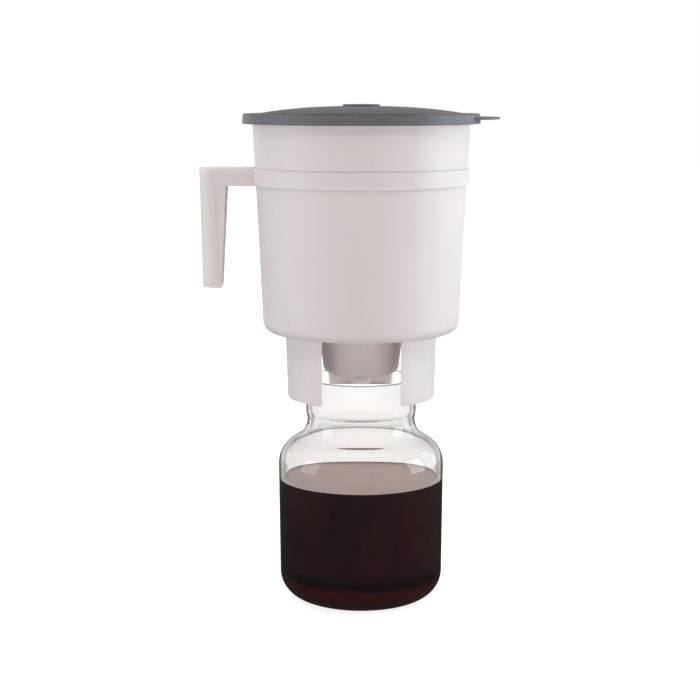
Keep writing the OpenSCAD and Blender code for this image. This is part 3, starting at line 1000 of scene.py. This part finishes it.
def dome(base, start, radius, steps=40):
    """From a start out to a radius R, the height above a base is the step plus the rest of the
    dome times 1 - (r / R) ** fullness. Points crowd together towards the steep edge."""
    r = radius * np.sin(np.linspace(math.asin(start / radius), math.pi / 2, steps))
    return np.column_stack([
        r, base + DOME_STEP + (dome_h - DOME_STEP) * (1 - (r / radius) ** DOME_FULLNESS)
    ])


def with_radii(points, radius=0):
    """Adds a rounding to each of some (a, b) points, so that they can stand among corners."""
    return np.column_stack([points, np.full(len(points), radius)])


under_r = DOME_R - LID_T
outer_dome = dome(lid_z, BOSS_R + BOSS_CLEAR, DOME_R)
lid_profile = rounded(np.vstack([
    [[0, lid_high.z, 0], [BOSS_R, lid_high.z, 0.3 * MM]],
    [[BOSS_R + 0.15 * MM, dome(lid_z, BOSS_R, DOME_R)[0, 1], 0.25 * MM]],
    with_radii(outer_dome[:-1]), with_radii(outer_dome[-1:], 0.25 * MM),
    [[DOME_R + 0.1 * MM, lid_z, 0.2 * MM]],
    [[skirt_r - SKIRT_FLARE, lid_z, 0.35 * MM], [skirt_r, lid_z - SKIRT_H, 0.4 * MM]],
    [[skirt_r - SKIRT_T, lid_z - SKIRT_H, 0.3 * MM], [skirt_r - SKIRT_T, rim_z, 0.3 * MM]],
    [[plug_r, rim_z, 0.3 * MM], [plug_r, rim_z - PLUG_H, 0.5 * MM]],
    [[plug_r - PLUG_WALL, rim_z - PLUG_H, 0.5 * MM], [plug_r - PLUG_WALL, rim_z, 0.3 * MM]],
    [[under_r, rim_z, 0.2 * MM]], with_radii(dome(rim_z, 0, under_r)[::-1]),
]))
tab_tip = lid_high.x
tab_c = tab_tip - TAB_R
across = (skirt_r ** 2 - TAB_R ** 2 + tab_c ** 2) / (2 * tab_c)
tab_end = math.degrees(math.acos((across - tab_c) / TAB_R))
skirt_end = math.degrees(math.acos(across / skirt_r))
tab_outline = np.vstack([
    arc_points([tab_c, 0], TAB_R, -tab_end, tab_end, 48),
    arc_points([0, 0], skirt_r - SKIRT_T / 2, skirt_end, -skirt_end, 48),
])
tab_grid = plate(tab_outline, TAB_T, 0.5 * MM, np.eye(3), (0, 0, lid_z - TAB_DROP))
piece(
    "lid_dome", [(lathe(lid_profile), "lathe"), (tab_grid, "plate")],
    "lid", "lid", grey_polyethylene
)

# %% [markdown]
# ## The felt and the stopper
#
# The felt is a soft disc, so its faces are slightly uneven. Cloth simulation is of no use for a
# disc that lies flat in a cup. A few sine waves of different lengths move its faces by a fraction
# of a millimetre instead, always inwards. The stopper is a turned head with a tapered plug that
# squeezes into the drain bore.

# %% The felt filter
FELT_ROUND = 1.2 * MM
FELT_WAVE = 0.25 * MM


def felt_wave(angle, r, z):
    """Both ways the wave is 0 to twice FELT_WAVE inwards, from three sines of the angle and
    the radius."""
    wave = (
        np.sin(5 * angle + 900 * z) + np.sin(11 * angle - 260 * r) + np.sin(3 * angle + 610 * r)
    ) / 3
    inward = FELT_WAVE * (1 + wave)
    side = np.where(z > (felt_low.z + felt_high.z) / 2, -1, 1)
    fade = np.clip(r / (5 * MM), 0, 1)
    return -inward * fade, inward * side * fade


felt_top_r = felt_high.y
felt_low_r = felt_top_r - (felt_high.z - felt_low.z) * CUP_DRAFT
felt_corners = rounded([
    [0, felt_low.z, 0], [felt_low_r, felt_low.z, FELT_ROUND], [felt_top_r, felt_high.z, FELT_ROUND],
    [0, felt_high.z, 0]
], steps=8)
spread = np.linspace(0, 1, 30)[1:-1, None]
felt_profile = np.vstack([
    felt_corners[:1], felt_corners[0] * (1 - spread) + felt_corners[1] * spread,
    felt_corners[1:-1], felt_corners[-2] * (1 - spread) + felt_corners[-1] * spread,
    felt_corners[-1:]
])
piece(
    "felt_disc", [(lathe(felt_profile, wobble=felt_wave), "lathe")],
    "filter", "felt_filter", felt_finish
)

# %% The stopper
STOPPER_GAP = 0.1 * MM
PLUG_TAPER = math.tan(math.radians(1))
head_r = stopper_high.y
bore_r = DRAIN_R - STOPPER_GAP
plug_l = stopper_high.z - drain_z
stopper_profile = rounded([
    [0, stopper_low.z, 0], [head_r, stopper_low.z, 0.8 * MM], [head_r, drain_z, 0.35 * MM],
    [bore_r, drain_z, 0.2 * MM], [bore_r - plug_l * PLUG_TAPER, stopper_high.z, 0.6 * MM],
    [0, stopper_high.z, 0]
], steps=8)
piece(
    "drain_stopper", [(lathe(stopper_profile, 96), "lathe")],
    "stopper", "stopper", silicone_finish
)

# %% [markdown]
# ## Camera
#
# The photograph was taken from the front with a long lens, a little above the object. Each ring
# on the object, such as lid, band, legs and coffee, is seen as an ellipse, and its flatness says
# how far above it the lens stood. Fitting them gave a pitch of nine degrees and the distance. The
# object stands just right of the picture's middle.

# %% Camera
LENS = 84.86
PITCH = math.radians(9.05)
DISTANCE = 1105.5 * MM
AIM_Z = 168.7 * MM
OBJECT_RIGHT = 7.4 * MM

camera = bpy.data.objects.new("camera", bpy.data.cameras.new("camera"))
bpy.context.scene.collection.objects.link(camera)
camera.data.lens = LENS
camera.data.sensor_width = 36
camera.location = (-OBJECT_RIGHT, -DISTANCE * math.cos(PITCH), AIM_Z + DISTANCE * math.sin(PITCH))
camera.rotation_euler = (math.pi / 2 - PITCH, 0, 0)
bpy.context.scene.camera = camera

# %% [markdown]
# ## Floor and light
#
# A white sweep with soft boxes is how such a product is photographed. A brighter lamp could make
# the floor white, but it would wash out the pale plastic. So the floor adds white light of its
# own for the camera, on top of the diffuse light that it really scatters: that white doesn't
# light the object, and the shadow on it stays. Behind glass the added light is weaker, which
# keeps the clear glass a shade darker than the sweep round it. In gloss the floor is the dim
# ground of a studio, which keeps the dark coffee dark, and far behind the object it is the bright
# sweep that a shiny top face mirrors.

# %% Floor
CLEAR_NEAR, CLEAR_FAR = 0.8, 1.0
THROUGH_NEAR, THROUGH_FAR = 0.48, 0.55
GLOSS_NEAR, GLOSS_FAR, GLOSS_BACK = 0.05, 0.12, 1.0
NEAR, FAR = 0.15, 0.7
BACK_START, BACK_END = 0.95, 1.25
FLOOR_HALF = 6
FLOAT = {"data_type": "FLOAT"}


def floor_material():
    """Diffuse plus an added light, which rises from CLEAR_NEAR at the distance NEAR from the
    object to CLEAR_FAR at FAR, or from THROUGH_NEAR to THROUGH_FAR behind glass. Glossy rays see
    only a light from GLOSS_NEAR to GLOSS_FAR, and GLOSS_BACK from BACK_END behind the object. A
    ray through clear glass counts as glossy too, so transmission is taken off."""
    material, tree, place = new_material("pale_sweep")
    material.cycles.emission_sampling = "NONE"
    path = add_node(tree, "LightPath").outputs
    distance = add_node(tree, "VectorMath", {"operation": "LENGTH"}, {0: place})
    away = add_node(tree, "MapRange", SMOOTH, {"Value": distance, "From Min": NEAR, "From Max": FAR})
    clear = add_node(tree, "Mix", FLOAT, {"Factor": away, "A": CLEAR_NEAR, "B": CLEAR_FAR})
    through = add_node(tree, "Mix", FLOAT, {"Factor": away, "A": THROUGH_NEAR, "B": THROUGH_FAR})
    behind_glass = add_node(tree, "Math", MULTIPLY, {0: path["Is Transmission Ray"], 1: through})
    straight = add_node(tree, "Mix", FLOAT, {
        "Factor": path["Is Camera Ray"], "A": behind_glass, "B": clear
    })
    diffuse = add_node(tree, "BsdfDiffuse", inputs={"Color": linear("#BCBCBC")})
    added = add_node(tree, "Emission", inputs={"Color": linear("#FFFFFF"), "Strength": straight})
    both = add_node(tree, "AddShader", inputs={0: diffuse, 1: added})
    depth = add_node(tree, "SeparateXYZ", inputs={"Vector": place}).outputs["Y"]
    behind = add_node(tree, "MapRange", SMOOTH, {
        "Value": depth, "From Min": BACK_START, "From Max": BACK_END,
        "To Min": GLOSS_FAR, "To Max": GLOSS_BACK
    })
    ground = add_node(tree, "Mix", FLOAT, {"Factor": away, "A": GLOSS_NEAR, "B": behind})
    mirrored = add_node(tree, "Emission", inputs={"Color": linear("#FFFFFF"), "Strength": ground})
    gloss = add_node(tree, "Math", {"operation": "SUBTRACT", "use_clamp": True}, {
        0: path["Is Glossy Ray"], 1: path["Is Transmission Ray"]
    })
    chosen = add_node(tree, "MixShader", inputs={"Fac": gloss, 1: both, 2: mirrored})
    add_node(tree, "OutputMaterial", inputs={"Surface": chosen})
    return material


floor_mesh = bpy.data.meshes.new("floor")
floor_mesh.from_pydata([
    (x * FLOOR_HALF, y * FLOOR_HALF, 0) for x, y in ((-1, -1), (1, -1), (1, 1), (-1, 1))
], [], [(0, 1, 2, 3)])
floor = bpy.data.objects.new("floor", floor_mesh)
floor.data.materials.append(floor_material())
bpy.context.scene.collection.objects.link(floor)

# %% [markdown]
# The lamp high in front throws the lid's curved shadow on the wall, and is small enough to give
# it an edge. Two weak strips in front fill the shadows under the lid and between the legs. The
# boxes at the sides brighten the edges of the round body, the right one more, so the middle of
# the wall is its darkest part. The box behind on the right edges the glass. The front lamps don't
# show in gloss, because no lamp is mirrored in the front of the real one.

# %% Lamps
def soft_box(name, place, target, width, height, power, colour="#FFFFFF"):
    """A rectangular area lamp at a place, turned to look at a target."""
    lamp = bpy.data.lights.new(name, "AREA")
    lamp.shape = "RECTANGLE"
    lamp.size, lamp.size_y = width, height
    lamp.energy = power
    lamp.color = linear(colour)[:3]
    made = bpy.data.objects.new(name, lamp)
    made.location = place
    made.rotation_euler = (Vector(target) - Vector(place)).to_track_quat("-Z", "Y").to_euler()
    made.visible_transmission = False
    bpy.context.scene.collection.objects.link(made)
    return made


middle = (0, 0, 0.22)
key = soft_box("key_lamp", (0, -1.25, 1.27), middle, 0.25, 0.25, 3.4, "#FFFBFB")
fill = soft_box("front_fill", (0, -1.6, 0.18), middle, 1.2, 0.5, 2.8, "#FFF0F2")
low = soft_box("low_front_fill", (0, -1.2, 0.05), (0, 0, 0.16), 2.2, 0.08, 2.9, "#FFFCFC")
soft_box("right_box", (1.49, -0.14, 0.35), middle, 0.7, 1.3, 11.6, "#EAFCFF")
soft_box("left_box", (-1.46, -0.35, 0.35), middle, 0.7, 1.3, 7.0, "#EDFAFF")
soft_box("right_back_box", (1.35, 0.65, 0.35), middle, 0.7, 1.3, 3.8, "#FCF9FF")
key.visible_glossy = fill.visible_glossy = low.visible_glossy = False

# %% [markdown]
# The world has one strength for the diffuse light on the object and others for what is seen. Its
# diffuse light comes from the sweep behind and from above. The camera sees plain white. Through
# glass it is the same white sweep, darker overhead, which draws the thin grey lines along the
# curves of the glass. In gloss it is the dim studio, with the bright sweep only low behind the
# object, so that the arm's top mirrors it and the lid's dome doesn't. A single white world would
# be simpler, but it would grey the coffee and take every line out of the glass. Y and Z of the
# direction say how far back and how high it points, from -1 to 1.

# %% World
AMBIENT_FRONT = 0.0
AMBIENT_BACK = 1.0
AMBIENT_TOP = 0.7
CEILING = 0.5
SWEEP_LOW, SWEEP_HIGH = 0.18, 0.32

world = bpy.data.worlds.new("white_studio")
bpy.context.scene.world = world
world.use_nodes = True
sky = world.node_tree
sky.nodes.clear()
seen_by = add_node(sky, "LightPath").outputs
direction = add_node(sky, "TexCoord").outputs["Generated"]
toward = add_node(sky, "SeparateXYZ", inputs={"Vector": direction})
ceiling = add_node(sky, "MapRange", SMOOTH, {
    "Value": toward.outputs["Z"], "From Min": 0.4, "From Max": 0.85, "To Min": 1.0, "To Max": CEILING
})
sweep = add_node(sky, "MapRange", SMOOTH, {
    "Value": toward.outputs["Y"], "From Min": -0.35, "From Max": 0.35,
    "To Min": AMBIENT_FRONT, "To Max": AMBIENT_BACK
})
above = add_node(sky, "MapRange", SMOOTH, {
    "Value": toward.outputs["Z"], "From Min": 0.45, "From Max": 0.85, "To Min": 0.0, "To Max": AMBIENT_TOP
})
diffuse_light = add_node(sky, "Math", {"operation": "ADD"}, {0: sweep, 1: above})
low_sky = add_node(sky, "MapRange", SMOOTH, {
    "Value": toward.outputs["Z"], "From Min": SWEEP_LOW, "From Max": SWEEP_HIGH,
    "To Min": GLOSS_BACK, "To Max": GLOSS_FAR
})
studio = add_node(sky, "MapRange", SMOOTH, {
    "Value": toward.outputs["Y"], "From Min": 0.0, "From Max": 0.8,
    "To Min": GLOSS_FAR, "To Max": low_sky
})
strength = diffuse_light
for ray, seen in (("Is Glossy Ray", studio), ("Is Transmission Ray", ceiling), ("Is Camera Ray", 1.0)):
    strength = add_node(sky, "Mix", FLOAT, {"Factor": seen_by[ray], "A": strength, "B": seen})
background = add_node(sky, "Background", inputs={"Color": linear("#FFFFFF"), "Strength": strength})
add_node(sky, "OutputWorld", inputs={"Surface": background})
bpy.context.scene.view_settings.view_transform = "Standard"
